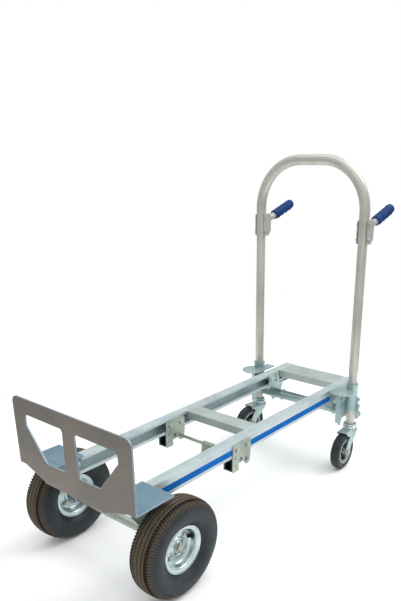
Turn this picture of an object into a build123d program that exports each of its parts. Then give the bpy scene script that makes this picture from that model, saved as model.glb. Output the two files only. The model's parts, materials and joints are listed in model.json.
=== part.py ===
from build123d import *
import math
import os

# Convertible hand truck, standing on four wheels as a platform cart. Millimetres.
# Design axes: X runs from the toe plate to the handle, Y across, Z up, floor at Z = 0.
# Every part is shifted along X on export so that the origin is under the middle of the object.

# Rails and crossbars
DECK_Z = 278.0
RAIL_IN = 116.0
RAIL_OUT = 146.0
RAIL_H = 48.0
RAIL_WALL = 5.0
RAIL_LIP = 3.0
RAIL_LIP_H = 4.0
RAIL_START = 50.0
RAIL_END = 1131.0
RAIL_LOW = DECK_Z - RAIL_H
WEB_IN = RAIL_OUT - RAIL_WALL
STRIP_H = 19.0
STRIP_DEPTH = 2.0
STRIP_Z = 248.5
GROOVE_W = 2.4
GROOVE_DEPTH = 1.4
GROOVE_INSET = 10.0
BAR_H = 25.0
BAR_WALL = 4.0
MID_BAR = (527.0, 581.0)
END_BAR = (1037.0, 1127.0)
BAR_TENON_INSET = 4.0

# Toe plate with its two wings
PLATE = 4.0
TOE_HALF = 221.5
TOE_TOP = 468.0
TOE_LOW = 249.0
TOE_LOW_HALF = 108.0
TOE_STEP_HALF = 198.0
TOE_CORNER_R = 20.0
WING_BACK = 121.0
SIDE_BACK = 112.0
FLANGE_BACK = 26.0
WINDOW = ((23.0, 425.0), (172.0, 425.0), (174.0, 398.0), (102.0, 310.0), (26.0, 310.0))
WINDOW_R = 9.0
TOE_BOLT_X = (66.0, 98.0)
TOE_BOLT_Z = 262.0

# Main wheels
AXLE_X = 131.0
AXLE_Z = 130.0
AXLE_R = 8.0
AXLE_HALF = 226.0
AXLE_MIDDLE_R = 12.0
WHEEL_Y = 208.0
TYRE_R = 130.0
BEAD = (21.5, 62.0)
TYRE_SIDE = ((30.0, 68.5), (38.5, 79.0), (42.0, 94.0), (39.5, 110.0), (31.0, 122.5), (17.0, 128.6))
AIR_SIZE = (36.0, 30.0)
AIR_R = 94.0
AIR_MOUTH = 15.5
AIR_OVERLAP = 6.0
TREAD_GROOVES = (-14.0, 0.0, 14.0)
TREAD_W = 3.0
TREAD_DEPTH = 3.0
SEAT_R = 52.5
DISC_T = 2.5
RIM_LIP = ((27.5, 63.0), (27.5, 60.6), (24.0, 60.0), (24.0, 50.0))
HUB_R = 20.0
HUB_NOSE_R = 15.5
HUB_OUT = 9.0
HUB_IN = 45.0
HUB_SHOULDER = 5.0
HUB_BEVEL = 1.5
RIM_BOLT_HALF = 10.0
RIM_BOLT_R = 34.0
RIM_BOLT_SIZE = 3.5
RIM_BOLT_ANGLES = (40, 130, 220, 310)
VALVE_ANGLE = 12.0
VALVE_R = 3.2
VALVE_PITCH = 44.0
VALVE_END = 21.0
RUN = 0.05
GAP = 0.3

# Axle brackets
BRACKET_Y = 128.0
BRACKET_TOP = (52.0, 105.0)
BRACKET_EYE_R = 14.0
SPACER_R = 11.5
WASHER_R = 14.0
WASHER_T = 2.0
PIN_R = 1.6
PIN_Y = 222.0

# Lock that holds the tie rod under the middle of the rails
LOCK_X = (431.0, 513.0)
LOCK_Z = (184.0, 268.0)
LOCK_T = 3.0
LOCK_BOLTS = ((450.0, 250.0), (497.0, 250.0))
SLOT_X = 467.0
SLOT_W = 16.0
SLOT_TOP = 222.0
LOBE_R = 13.0
LOBE_TOP = 214.0
LEG_HOLES = ((443.0, 202.0), (443.0, 226.0))
LEG_HOLE_R = 3.0
LATCH_X = 497.0
LATCH_Z = 204.0
LATCH_R = 5.0
LINER_BACK = 456.0
HOOK_T = 6.0
LEVER_HALF = 20.0

# Bolts
BOLT_R = 4.0
HEAD_R = 6.5
HEAD_H = 4.5

# Pivot of the two collars and the cross tube behind it
PIVOT_X = 985.0
PIVOT_Z = 254.0
PIVOT_R = 6.0
BOSS_R = 14.0
BOSS_END = 182.7
TUBE_X = 1064.0
TUBE_Z = 172.0
TUBE_R = 17.5
TUBE_HALF = 206.0
TUBE_RING_R = 22.0
TUBE_WALL = 3.0
SADDLE_X = (966.0, 1126.0)
SADDLE_IN_BACK = 1035.0
SADDLE_TOP = DECK_Z - 3.0
SADDLE_BOLT_X = 1018.0
SADDLE_BOLT_Z = (245.0, 264.0)

# Collars that turn on the pivot and guide the legs
LEG_X = 1025.0
LEG_Y = 199.0
LEG_R = 15.0
LEG_BORE = 12.5
LEG_LOW = 152.0
SLEEVE_R = 19.5
SLEEVE_Z = (202.0, 299.0)
SLEEVE_LIP = 6.0
COLLAR_Y = (183.0, 187.0)
FLANGE_Z = 279.0
FLANGE_IN = 152.0
FLANGE_LOBE = (973.0, 189.0, 41.0)
COLLAR_X = 962.0
COLLAR_TAIL_Z = 158.0
COLLAR_LOW_Z = 180.0
COLLAR_FOOT = ((1002.0, COLLAR_LOW_Z), (1010.0, 190.0), (1014.0, 206.0), (LEG_X, 208.0))
COLLAR_LIP = (174.0, 166.0)
COLLAR_TAIL_X = (967.0, 976.0)
COLLAR_RIVETS = ((973.0, 196.0), (992.0, 193.0))
HOOK_LOBE_R = 13.0
HOOK_LOBE_Z = 192.0
RIVET_R = 4.0
RIVET_H = 2.5

# Handle
LOOP_R = 16.5
LOOP_LOW = 766.0
LOOP_BEND_Z = 862.0
LOOP_BEND_R = 155.0
LEG_TOP = 840.0
HANDLE_BOLT_Z = (780.0, 826.0)
TIE_R = 6.5
TIE_Z = 180.0
GRIP_TILT = 18.0
GRIP_ROOT = (1046.0, 814.0)
GRIP_TUBE_R = 11.0
GRIP_R = 16.0
GRIP_END_R = 8.0
GRIP_FROM = 58.0
GRIP_TIP = 171.0
GRIP_BUMPS = (18.0, 42.0, 66.0, 90.0)
BUMP_R = 12.0
BUMP_SINK = 6.5
BUMP_SHAPE = (1.0, 1.2, 0.75)
CHEEK_T = 3.0

# Swivel casters
CASTER_R = 63.5
CASTER_HALF = 16.0
CASTER_CORE_R = 44.0
CASTER_TRAIL = 50.0
CASTER_TURN_RIGHT = 3.0
CASTER_TURN_LEFT = 9.0
CASTER_AXLE_R = 5.0
FORK_IN = 19.0
FORK_T = 3.0
CROWN_Z = 131.0
CROWN_T = 4.0
RACE_R = 24.0
RACE_TOP = 147.7
STEM_FLANGE_T = 4.0
KING_R = 6.0
PLUG_H = 16.0

# Top of the design frame's X range, used to centre the object
GRIP_COS = math.cos(math.radians(GRIP_TILT))
GRIP_SIN = math.sin(math.radians(GRIP_TILT))
X_MAX = GRIP_ROOT[0] + (GRIP_TIP - GRIP_END_R) * GRIP_COS + (GRIP_R - GRIP_END_R) * GRIP_SIN + GRIP_END_R
X_MID = X_MAX / 2.0


def block(x0, x1, y0, y1, z0, z1):
    """Box between two corners."""
    centre = ((x0 + x1) / 2, (y0 + y1) / 2, (z0 + z1) / 2)
    return Pos(*centre) * Box(abs(x1 - x0), abs(y1 - y0), abs(z1 - z0))


def rod_y(x, z, r, y0, y1):
    """Cylinder along Y."""
    return Pos(x, (y0 + y1) / 2, z) * Rot(90, 0, 0) * Cylinder(r, abs(y1 - y0))


def rod_z(x, y, r, z0, z1):
    """Cylinder along Z."""
    return Pos(x, y, (z0 + z1) / 2) * Cylinder(r, abs(z1 - z0))


def sheet_xz(outline, y0, y1):
    """Sheet parallel to the XZ plane, from y0 to y1."""
    plane = Plane(origin=(0, y0, 0), x_dir=(1, 0, 0), z_dir=(0, -1, 0))
    return extrude(plane * outline, amount=y1 - y0, dir=(0, 1, 0))


def sheet_yz(outline, x0, x1):
    """Sheet parallel to the YZ plane, from x0 to x1."""
    plane = Plane(origin=(x0, 0, 0), x_dir=(0, 1, 0), z_dir=(1, 0, 0))
    return extrude(plane * outline, amount=x1 - x0, dir=(1, 0, 0))


def shape_of(points, radius=0.0):
    """Closed outline with every corner rounded."""
    outline = Polygon(*points, align=None)
    if radius:
        outline = fillet(outline.vertices(), radius)
    return outline


def bolt_y(x, z, y_head, y_end):
    """Bolt along Y with its head outside y_head and its shank ending at y_end."""
    way = 1 if y_head > y_end else -1
    head = rod_y(x, z, HEAD_R, y_head, y_head + way * HEAD_H)
    head = chamfer(head.edges().sort_by(Axis.Y)[-1 if way > 0 else 0], 1.0)
    return head + rod_y(x, z, BOLT_R, y_head, y_end)


def both(shape):
    """The left shape and its mirror image on the right."""
    return shape, mirror(shape, about=Plane.XZ)


def spin_y(profile, x, z, y=0.0):
    """Solid of revolution about Y from (offset along Y, radius) points."""
    plane = Plane(origin=(x, y, z), x_dir=(0, 1, 0), z_dir=(1, 0, 0))
    axis = Axis((x, y, z), (0, 1, 0))
    return revolve(plane * profile, axis=axis, revolution_arc=360)


# ---------------------------------------------------------------- rails and crossbars
def make_rail():
    section = Pos((RAIL_IN + RAIL_OUT) / 2, DECK_Z - RAIL_H / 2) * Rectangle(RAIL_OUT - RAIL_IN, RAIL_H)
    hollow_w = RAIL_OUT - RAIL_IN - RAIL_WALL - RAIL_LIP
    hollow_y = WEB_IN - hollow_w / 2
    section -= Pos(hollow_y, DECK_Z - RAIL_H / 2) * Rectangle(hollow_w, RAIL_H - 2 * RAIL_WALL)
    mouth_h = RAIL_H - 2 * RAIL_WALL - 2 * RAIL_LIP_H
    section -= Pos(RAIL_IN + RAIL_LIP / 2, DECK_Z - RAIL_H / 2) * Rectangle(RAIL_LIP, mouth_h)
    section -= Pos(RAIL_OUT - STRIP_DEPTH / 2, STRIP_Z) * Rectangle(STRIP_DEPTH, STRIP_H)
    for y in (RAIL_IN + GROOVE_INSET, RAIL_OUT - GROOVE_INSET):
        section -= Pos(y, DECK_Z - GROOVE_DEPTH / 2) * Rectangle(GROOVE_W, GROOVE_DEPTH)
    return sheet_yz(section, RAIL_START, RAIL_END)


def make_crossbar(span):
    x0, x1 = span
    low = DECK_Z - BAR_H
    tenon_top = DECK_Z - RAIL_WALL
    bar = block(x0, x1, -RAIL_IN, RAIL_IN, low, DECK_Z)
    tenon_x = (x0 + BAR_TENON_INSET, x1 - BAR_TENON_INSET)
    bar += block(*tenon_x, RAIL_IN + RAIL_LIP, WEB_IN, low, tenon_top)
    bar += block(*tenon_x, -WEB_IN, -RAIL_IN - RAIL_LIP, low, tenon_top)
    neck_top = tenon_top - RAIL_LIP_H
    bar += block(*tenon_x, -WEB_IN, WEB_IN, low, neck_top)
    wall = BAR_TENON_INSET + BAR_WALL
    bar -= block(x0 + wall, x1 - wall, -WEB_IN, WEB_IN, low, neck_top - BAR_WALL)
    return bar


# ---------------------------------------------------------------- toe plate
def make_toe_plate():
    outline = shape_of([
        (-TOE_HALF, TOE_TOP), (-TOE_HALF, DECK_Z), (-TOE_STEP_HALF, DECK_Z), (-TOE_LOW_HALF, TOE_LOW),
        (TOE_LOW_HALF, TOE_LOW), (TOE_STEP_HALF, DECK_Z), (TOE_HALF, DECK_Z), (TOE_HALF, TOE_TOP),
    ])
    top = outline.vertices().group_by(Axis.Y)[-1]
    outline = fillet(top, TOE_CORNER_R)
    window = shape_of(WINDOW, WINDOW_R)
    outline -= window
    outline -= mirror(window, about=Plane.YZ)
    plate = sheet_yz(outline, 0, PLATE)
    for side in (1, -1):
        y_in = side * (RAIL_IN - PLATE)
        plate += block(0, WING_BACK, y_in, side * TOE_HALF, DECK_Z, DECK_Z + PLATE)
        cheek = shape_of([
            (0, DECK_Z + PLATE), (SIDE_BACK, DECK_Z + PLATE), (SIDE_BACK, DECK_Z - BAR_H),
            (SIDE_BACK - PLATE, TOE_LOW), (0, TOE_LOW),
        ])
        plate += sheet_xz(cheek, min(y_in, side * RAIL_IN), max(y_in, side * RAIL_IN))
    plate += block(0, FLANGE_BACK, -RAIL_IN + PLATE, RAIL_IN - PLATE, TOE_LOW, TOE_LOW + PLATE)
    return plate


# ---------------------------------------------------------------- main wheels
def make_tyre():
    right = [BEAD, *TYRE_SIDE, (0, TYRE_R)]
    left = [(-w, r) for w, r in reversed(right[:-1])]
    skin = Spline(*right, *left)
    foot = Polyline(left[-1], (-BEAD[0], SEAT_R), (BEAD[0], SEAT_R), BEAD)
    section = make_face(skin + foot)
    section -= Pos(0, AIR_R) * Ellipse(*AIR_SIZE)
    section -= Pos(0, SEAT_R) * Rectangle(2 * AIR_MOUTH, 2 * (AIR_R - AIR_SIZE[1] - SEAT_R + AIR_OVERLAP))
    tyre = spin_y(section, AXLE_X, AXLE_Z, WHEEL_Y)
    for w in TREAD_GROOVES:
        groove = Pos(w, TYRE_R) * Rectangle(TREAD_W, 2 * TREAD_DEPTH)
        tyre -= spin_y(groove, AXLE_X, AXLE_Z, WHEEL_Y)
    return tyre


def around_wheel(radius, angle):
    """Point on a circle about the axle."""
    turn = math.radians(angle)
    return AXLE_X + radius * math.cos(turn), AXLE_Z + radius * math.sin(turn)


def make_rim_half(side, bolts, valve):
    well_r = RIM_LIP[-1][1]
    points = [(0, HUB_R), (0, SEAT_R), (BEAD[0], SEAT_R), BEAD, *RIM_LIP, (DISC_T, well_r), (DISC_T, HUB_R)]
    section = shape_of([(side * w, r) for w, r in points])
    return spin_y(section, AXLE_X, AXLE_Z, WHEEL_Y) - bolts - valve


def make_hub():
    hub = rod_y(AXLE_X, AXLE_Z, HUB_NOSE_R, WHEEL_Y - HUB_IN, WHEEL_Y + HUB_OUT)
    hub = chamfer(hub.edges(), HUB_BEVEL)
    hub += rod_y(AXLE_X, AXLE_Z, HUB_R, WHEEL_Y - HUB_SHOULDER, WHEEL_Y + HUB_SHOULDER)
    return hub - rod_y(AXLE_X, AXLE_Z, AXLE_R + RUN, 0, 2 * WHEEL_Y)


def make_rim_bolts():
    bolts = []
    for angle in RIM_BOLT_ANGLES:
        x, z = around_wheel(RIM_BOLT_R, angle)
        bolt = rod_y(x, z, RIM_BOLT_SIZE, WHEEL_Y - RIM_BOLT_HALF, WHEEL_Y + RIM_BOLT_HALF)
        for side in (1, -1):
            face = WHEEL_Y + side * DISC_T
            bolt += rod_y(x, z, HEAD_R, face, face + side * HEAD_H)
        bolts.append(bolt)
    return Compound(children=bolts)


def make_valve():
    x, z = around_wheel(VALVE_PITCH, VALVE_ANGLE)
    stem = rod_y(x, z, VALVE_R, WHEEL_Y - DISC_T, WHEEL_Y + VALVE_END)
    return stem + rod_y(x, z, 2 * VALVE_R, WHEEL_Y + DISC_T, WHEEL_Y + 2 * DISC_T)


# ---------------------------------------------------------------- axle and its brackets
def make_axle_bracket():
    x0, x1 = BRACKET_TOP
    eye = ((AXLE_X + BRACKET_EYE_R, AXLE_Z), (AXLE_X - BRACKET_EYE_R, AXLE_Z))
    arm = shape_of([(x0, RAIL_LOW), (x1, RAIL_LOW), *eye])
    arm += Pos(AXLE_X, AXLE_Z) * Circle(BRACKET_EYE_R)
    bracket = sheet_xz(arm, BRACKET_Y, BRACKET_Y + PLATE)
    bracket += block(x0, x1, RAIL_IN + PLATE, WEB_IN + PLATE, RAIL_LOW - PLATE, RAIL_LOW)
    return bracket - rod_y(AXLE_X, AXLE_Z, AXLE_R, 0, WHEEL_Y)


def make_axle():
    axle = chamfer(rod_y(AXLE_X, AXLE_Z, AXLE_R, -AXLE_HALF, AXLE_HALF).edges(), HUB_BEVEL)
    axle += rod_y(AXLE_X, AXLE_Z, AXLE_MIDDLE_R, -BRACKET_Y, BRACKET_Y)
    for side in (1, -1):
        axle -= rod_z(AXLE_X, side * PIN_Y, PIN_R, AXLE_Z - 2 * AXLE_R, AXLE_Z + 2 * AXLE_R)
    return axle


def make_axle_washers():
    pieces = []
    hub_in = WHEEL_Y - HUB_IN - GAP
    hub_out = WHEEL_Y + HUB_OUT + GAP
    hole = rod_y(AXLE_X, AXLE_Z, AXLE_R, 0, AXLE_HALF)
    for y0, y1, r in ((BRACKET_Y + PLATE, hub_in, SPACER_R), (hub_out, hub_out + WASHER_T, WASHER_R)):
        ring = rod_y(AXLE_X, AXLE_Z, r, y0, y1) - hole
        pieces += [*both(ring)]
    pin = rod_z(AXLE_X, PIN_Y, PIN_R, AXLE_Z - SPACER_R, AXLE_Z + SPACER_R)
    pieces += [*both(pin)]
    return Compound(children=pieces)


# ---------------------------------------------------------------- lock under the rails
def lock_outline():
    x0, x1 = LOCK_X
    z0, z1 = LOCK_Z
    slot_right = SLOT_X + SLOT_W / 2
    outline = shape_of([
        (x0, z0), (slot_right, z0), (slot_right, LOBE_TOP), (LATCH_X - LOBE_R, LATCH_Z),
        (LATCH_X + LOBE_R, LATCH_Z), (x1, SLOT_TOP), (x1, z1), (x0, z1),
    ])
    outline = fillet(outline.vertices().group_by(Axis.Y)[-1], PLATE)
    outline += Pos(LATCH_X, LATCH_Z) * Circle(LOBE_R)
    outline -= Pos(SLOT_X, z0) * Rectangle(SLOT_W, 2 * (SLOT_TOP - SLOT_W / 2 - z0))
    outline -= Pos(SLOT_X, SLOT_TOP - SLOT_W / 2) * Circle(SLOT_W / 2)
    for hole in LEG_HOLES:
        outline -= Pos(*hole) * Circle(LEG_HOLE_R)
    return outline - Pos(LATCH_X, LATCH_Z) * Circle(LATCH_R + RUN)


def make_liners():
    z0 = LOCK_Z[0] + PLATE / 2
    front = LOCK_X[0]
    liner = block(front, LINER_BACK, RAIL_IN, RAIL_OUT, z0, RAIL_LOW)
    ceiling = RAIL_LOW - 2 * PLATE
    pocket = block(front, LINER_BACK - PLATE, RAIL_IN + PLATE, RAIL_OUT - PLATE, z0 + PLATE, ceiling)
    return Compound(children=[*both(liner - pocket)])


def make_latch_rod():
    end = RAIL_OUT + LOCK_T + GAP
    rod = rod_y(LATCH_X, LATCH_Z, LATCH_R, -end, end)
    for side in (1, -1):
        rod += rod_y(LATCH_X, LATCH_Z, HEAD_R, side * end, side * (end + HEAD_H))
    return rod


def about_latch(points):
    """Outline given from the latch rod's axis."""
    return shape_of([(LATCH_X + x, LATCH_Z + z) for x, z in points])


def make_latch_hooks():
    tie_low = PIVOT_Z - (LEG_X - PIVOT_X) - TIE_R - GAP - LATCH_Z
    tip = LINER_BACK + 2 - LATCH_X
    nose = about_latch([
        (0, 2 * LATCH_R), (-14, LATCH_R + 2), (-22, tie_low), (tip, tie_low), (tip, tie_low - 6),
        (-26, -12), (0, -2 * LATCH_R),
    ])
    nose += Pos(LATCH_X, LATCH_Z) * Circle(2 * LATCH_R)
    nose -= Pos(LATCH_X, LATCH_Z) * Circle(LATCH_R)
    middle = (RAIL_IN + RAIL_OUT) / 2
    return Compound(children=[*both(sheet_xz(nose, middle - HOOK_T / 2, middle + HOOK_T / 2))])


def make_latch_lever():
    lever = rod_y(LATCH_X, LATCH_Z, LATCH_R + PLATE, -LEVER_HALF, LEVER_HALF)
    blade = about_latch([(-9, 0), (-5, 0), (-8, -26), (-20, -38), (-24, -35), (-12, -24)])
    lever += sheet_xz(blade, -LEVER_HALF, LEVER_HALF)
    return lever - rod_y(LATCH_X, LATCH_Z, LATCH_R, -2 * LEVER_HALF, 2 * LEVER_HALF)


# ---------------------------------------------------------------- pivot end of the rails
def make_saddle():
    x0, x1 = SADDLE_X
    low = TUBE_Z - TUBE_RING_R
    outline = shape_of([
        (x0, SADDLE_TOP), (x1, SADDLE_TOP), (x1, RAIL_LOW + 6), (TUBE_X + TUBE_RING_R, low),
        (TUBE_X - TUBE_RING_R, low), (TUBE_X - 36, RAIL_LOW - 30),
        (x0 + 30, RAIL_LOW - PLATE), (x0, RAIL_LOW - PLATE),
    ], PLATE)
    saddle = sheet_xz(outline, RAIL_OUT, RAIL_OUT + PLATE)
    y_in = RAIL_IN - PLATE
    saddle += block(x0 + PLATE, x1 - PLATE, y_in, RAIL_OUT + PLATE, RAIL_LOW - PLATE, RAIL_LOW)
    saddle += block(x0 + PLATE, SADDLE_IN_BACK, y_in, RAIL_IN, RAIL_LOW - PLATE, DECK_Z - RAIL_WALL)
    return saddle - rod_y(TUBE_X, TUBE_Z, TUBE_R, 0, LEG_Y)


def make_pivot_bolts():
    pivot = rod_y(PIVOT_X, PIVOT_Z, PIVOT_R, RAIL_IN - PLATE, COLLAR_Y[1] + GAP)
    pivot += rod_y(PIVOT_X, PIVOT_Z, BOSS_R - 2, COLLAR_Y[1] + GAP, COLLAR_Y[1] + GAP + HEAD_H)
    pivot += rod_y(PIVOT_X, PIVOT_Z, BOSS_R, RAIL_OUT + PLATE, BOSS_END)
    pivot += rod_y(PIVOT_X, PIVOT_Z, BOSS_R - 4, RAIL_IN - PLATE - HEAD_H, RAIL_IN - PLATE)
    return Compound(children=[*both(pivot)])


def make_cross_tube():
    tube = rod_y(TUBE_X, TUBE_Z, TUBE_R, -TUBE_HALF, TUBE_HALF)
    for side in (1, -1):
        tube += rod_y(TUBE_X, TUBE_Z, TUBE_RING_R, side * (RAIL_IN - PLATE), side * RAIL_IN)
    return tube - rod_y(TUBE_X, TUBE_Z, TUBE_R - TUBE_WALL, -LEG_Y * 2, LEG_Y * 2)


# ---------------------------------------------------------------- collars
def make_sleeve():
    low, top = SLEEVE_Z
    sleeve = rod_z(LEG_X, LEG_Y, SLEEVE_R, low, top)
    sleeve += rod_z(LEG_X, LEG_Y, SLEEVE_R + 1, top - SLEEVE_LIP, top)
    return sleeve - rod_z(LEG_X, LEG_Y, LEG_R + 2 * RUN, 0, DECK_Z * 2)


def make_collar():
    z_top = FLANGE_Z + PLATE
    plate_in, plate_out = COLLAR_Y
    lip_y, lip_z = COLLAR_LIP
    outline = shape_of([
        (COLLAR_X, z_top), (COLLAR_X, lip_z), *[(x, COLLAR_TAIL_Z) for x in COLLAR_TAIL_X],
        (PIVOT_X, COLLAR_LOW_Z), *COLLAR_FOOT, (LEG_X, z_top),
    ])
    collar = sheet_xz(outline, plate_in, plate_out)
    collar += block(COLLAR_X, COLLAR_X + PLATE, lip_y, plate_out, lip_z, z_top)
    for x, z in COLLAR_RIVETS:
        collar += rod_y(x, z, RIVET_R, plate_in, plate_out + RIVET_H)
    x, y, r = FLANGE_LOBE
    lobe = Pos(x, y) * Circle(r)
    lobe += Pos(x + r, (FLANGE_IN + plate_out) / 2) * Rectangle(2 * r + 8, plate_out - FLANGE_IN)
    keep = Pos(x + r, y + LEG_Y / 2) * Rectangle(LEG_Y, LEG_Y + 2 * (y - FLANGE_IN))
    collar += Pos(0, 0, FLANGE_Z) * extrude(lobe & keep, amount=PLATE, dir=(0, 0, 1))
    collar -= rod_z(LEG_X, LEG_Y, SLEEVE_R, 0, DECK_Z * 2)
    return collar - rod_y(PIVOT_X, PIVOT_Z, PIVOT_R + RUN, FLANGE_IN, LEG_Y)


def make_hook():
    """Toothed hook on the outside of the sleeve."""
    out = LEG_Y + SLEEVE_R
    hook = shape_of([
        (LEG_Y, 200), (out + 8, 206), (out + 13, 222), (out + 8, 228), (out + 2, 232), (out + 8, 238),
        (out + 13, 246), (out + 8, 251), (LEG_Y, 254),
    ])
    hook += Pos(out + HOOK_LOBE_R / 3, HOOK_LOBE_Z) * Circle(HOOK_LOBE_R)
    return sheet_yz(hook, LEG_X + 2, LEG_X + 2 + PLATE) - rod_z(LEG_X, LEG_Y, SLEEVE_R, 0, DECK_Z * 2)


# ---------------------------------------------------------------- handle
def make_leg(tie, bolts):
    leg = rod_z(LEG_X, LEG_Y, LEG_R, LEG_LOW, LEG_TOP)
    leg -= rod_z(LEG_X, LEG_Y, LEG_BORE, 0, LEG_TOP * 2)
    return leg - tie - bolts


def make_loop(bolts):
    flat = LEG_Y - LOOP_BEND_R
    halfway = LOOP_BEND_R * math.cos(math.radians(45))
    top = LOOP_BEND_Z + LOOP_BEND_R
    places = [(LEG_Y, LOOP_LOW), (LEG_Y, LOOP_BEND_Z), (flat + halfway, LOOP_BEND_Z + halfway), (flat, top)]
    left = [Vector(LEG_X, y, z) for y, z in places]
    right = [Vector(LEG_X, -y, z) for y, z in places]
    path = Line(left[0], left[1]) + ThreePointArc(*left[1:]) + Line(left[3], right[3])
    path += ThreePointArc(right[3], right[2], right[1]) + Line(right[1], right[0])
    start = Plane(origin=left[0], z_dir=(0, 0, 1))
    ring = start * (Circle(LOOP_R) - Circle(LEG_R))
    return sweep(ring, path=path) - bolts


def make_handle_bolts():
    bolts = []
    out = LOOP_R + CHEEK_T
    for side in (1, -1):
        for z in HANDLE_BOLT_Z:
            y_in, y_out = side * (LEG_Y - out), side * (LEG_Y + out)
            bolt = rod_y(LEG_X, z, BOLT_R, y_in, y_out)
            bolt += rod_y(LEG_X, z, HEAD_R, y_out, y_out + side * HEAD_H)
            bolt += rod_y(LEG_X, z, HEAD_R, y_in, y_in - side * HEAD_H)
            bolts.append(bolt)
    return Compound(children=bolts)


def grip_frame():
    """Location whose Z axis runs along the grip."""
    x, z = GRIP_ROOT
    return Pos(x, LEG_Y, z) * Rot(0, 90 - GRIP_TILT, 0)


def make_grip_arm(bolts):
    x_web = LEG_X + LOOP_R
    cheek = shape_of([
        (LEG_X - 9, LOOP_LOW + 2), (LEG_X - 9, LEG_TOP - 2), (x_web, LEG_TOP + 2), (x_web + 16, LEG_TOP - 6),
        (x_web + 14, LOOP_LOW + 14), (x_web, LOOP_LOW),
    ], 2.5)
    arm = sheet_xz(cheek, LEG_Y + LOOP_R, LEG_Y + LOOP_R + CHEEK_T)
    arm += sheet_xz(cheek, LEG_Y - LOOP_R - CHEEK_T, LEG_Y - LOOP_R)
    half = LOOP_R + CHEEK_T
    arm += block(x_web, x_web + CHEEK_T, LEG_Y - half, LEG_Y + half, LOOP_LOW + 4, LEG_TOP)
    tube = Cylinder(GRIP_TUBE_R, GRIP_TIP - PLATE, align=(Align.CENTER, Align.CENTER, Align.MIN))
    arm += (grip_frame() * tube) & block(x_web, x_web * 2, 0, LEG_Y * 2, 0, RAIL_END)
    return arm - bolts


def make_grip(arm):
    grip = Cylinder(GRIP_R, GRIP_TIP - GRIP_FROM, align=(Align.CENTER, Align.CENTER, Align.MIN))
    grip = fillet(grip.edges().sort_by(Axis.Z)[-1], GRIP_END_R)
    for height in GRIP_BUMPS:
        grip += Pos(BUMP_SINK, 0, height) * scale(Sphere(BUMP_R), by=BUMP_SHAPE)
    return grip_frame() * Pos(0, 0, GRIP_FROM) * grip - arm


# ---------------------------------------------------------------- casters
def make_stem():
    stem = rod_z(LEG_X, LEG_Y, LEG_BORE, LEG_LOW, LEG_LOW + PLUG_H)
    stem += rod_z(LEG_X, LEG_Y, RACE_R - 1, LEG_LOW - STEM_FLANGE_T, LEG_LOW)
    stem += rod_z(LEG_X, LEG_Y, KING_R, CROWN_Z - GAP, LEG_LOW)
    return stem + rod_z(LEG_X, LEG_Y, KING_R + 3, CROWN_Z - GAP - PLATE, CROWN_Z - GAP)


def make_fork():
    """Fork at the left leg, trailing towards -X before it is turned."""
    x_wheel = LEG_X - CASTER_TRAIL
    half = FORK_IN + FORK_T
    fork = rod_z(LEG_X, LEG_Y, RACE_R, CROWN_Z, RACE_TOP - 3)
    fork += rod_z(LEG_X, LEG_Y, RACE_R - 3, RACE_TOP - 3, RACE_TOP)
    fork += block(x_wheel - 4, LEG_X, LEG_Y - half, LEG_Y + half, CROWN_Z, CROWN_Z + CROWN_T)
    cheek = shape_of([
        (x_wheel - 12, CASTER_R), (x_wheel - 4, CROWN_Z + CROWN_T), (LEG_X + 16, CROWN_Z + CROWN_T),
        (LEG_X + 16, CROWN_Z - 8), (x_wheel + 12, CASTER_R - 4),
    ])
    cheek += Pos(x_wheel, CASTER_R) * Circle(13)
    for y0 in (LEG_Y + FORK_IN, LEG_Y - half):
        fork += sheet_xz(cheek, y0, y0 + FORK_T)
    fork += block(LEG_X - 6, LEG_X + 16, LEG_Y - half, LEG_Y + half, CROWN_Z, CROWN_Z + CROWN_T)
    fork -= rod_z(LEG_X, LEG_Y, KING_R + RUN, 0, LEG_LOW)
    return fork - rod_y(x_wheel, CASTER_R, CASTER_AXLE_R, 0, LEG_Y * 2)


def make_caster_axle():
    x, out = LEG_X - CASTER_TRAIL, FORK_IN + FORK_T
    axle = rod_y(x, CASTER_R, CASTER_AXLE_R, LEG_Y - out, LEG_Y + out)
    axle += rod_y(x, CASTER_R, 2 * CASTER_AXLE_R - 1, LEG_Y + out, LEG_Y + out + HEAD_H)
    return axle + rod_y(x, CASTER_R, 2 * CASTER_AXLE_R - 1, LEG_Y - out - HEAD_H, LEG_Y - out)


def make_caster_core():
    w, hub = CASTER_HALF, FORK_IN - GAP
    section = shape_of([
        (-hub, CASTER_AXLE_R + RUN), (-hub, 14), (-w + 6, 17), (-4, 22), (-4, 34), (-w + 3, CASTER_CORE_R),
        (w - 3, CASTER_CORE_R), (4, 34), (4, 22), (w - 6, 17), (hub, 14), (hub, CASTER_AXLE_R + RUN),
    ])
    return spin_y(section, LEG_X - CASTER_TRAIL, CASTER_R, LEG_Y)


def make_caster_tyre():
    w, r0, r1 = CASTER_HALF, CASTER_CORE_R, CASTER_R
    half = [(w - 3, r0), (w, r0 + 5), (w, r1 - 5), (w - 5, r1)]
    section = shape_of([*half, *[(-y, r) for y, r in reversed(half)]])
    return spin_y(section, LEG_X - CASTER_TRAIL, CASTER_R, LEG_Y)


def turned(shape, angle):
    """Caster piece turned about the leg's axis."""
    return Pos(LEG_X, LEG_Y, 0) * Rot(0, 0, angle) * Pos(-LEG_X, -LEG_Y, 0) * shape


# ---------------------------------------------------------------- assemble
parts = {}


def add(name, *shapes):
    pieces = [Pos(-X_MID, 0, 0) * solid for shape in shapes for solid in shape.solids()]
    parts[name] = pieces[0] if len(pieces) == 1 else Compound(children=pieces)


def add_both(name, shape):
    left, right = both(shape)
    add(name + "_left", left)
    add(name + "_right", right)


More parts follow.
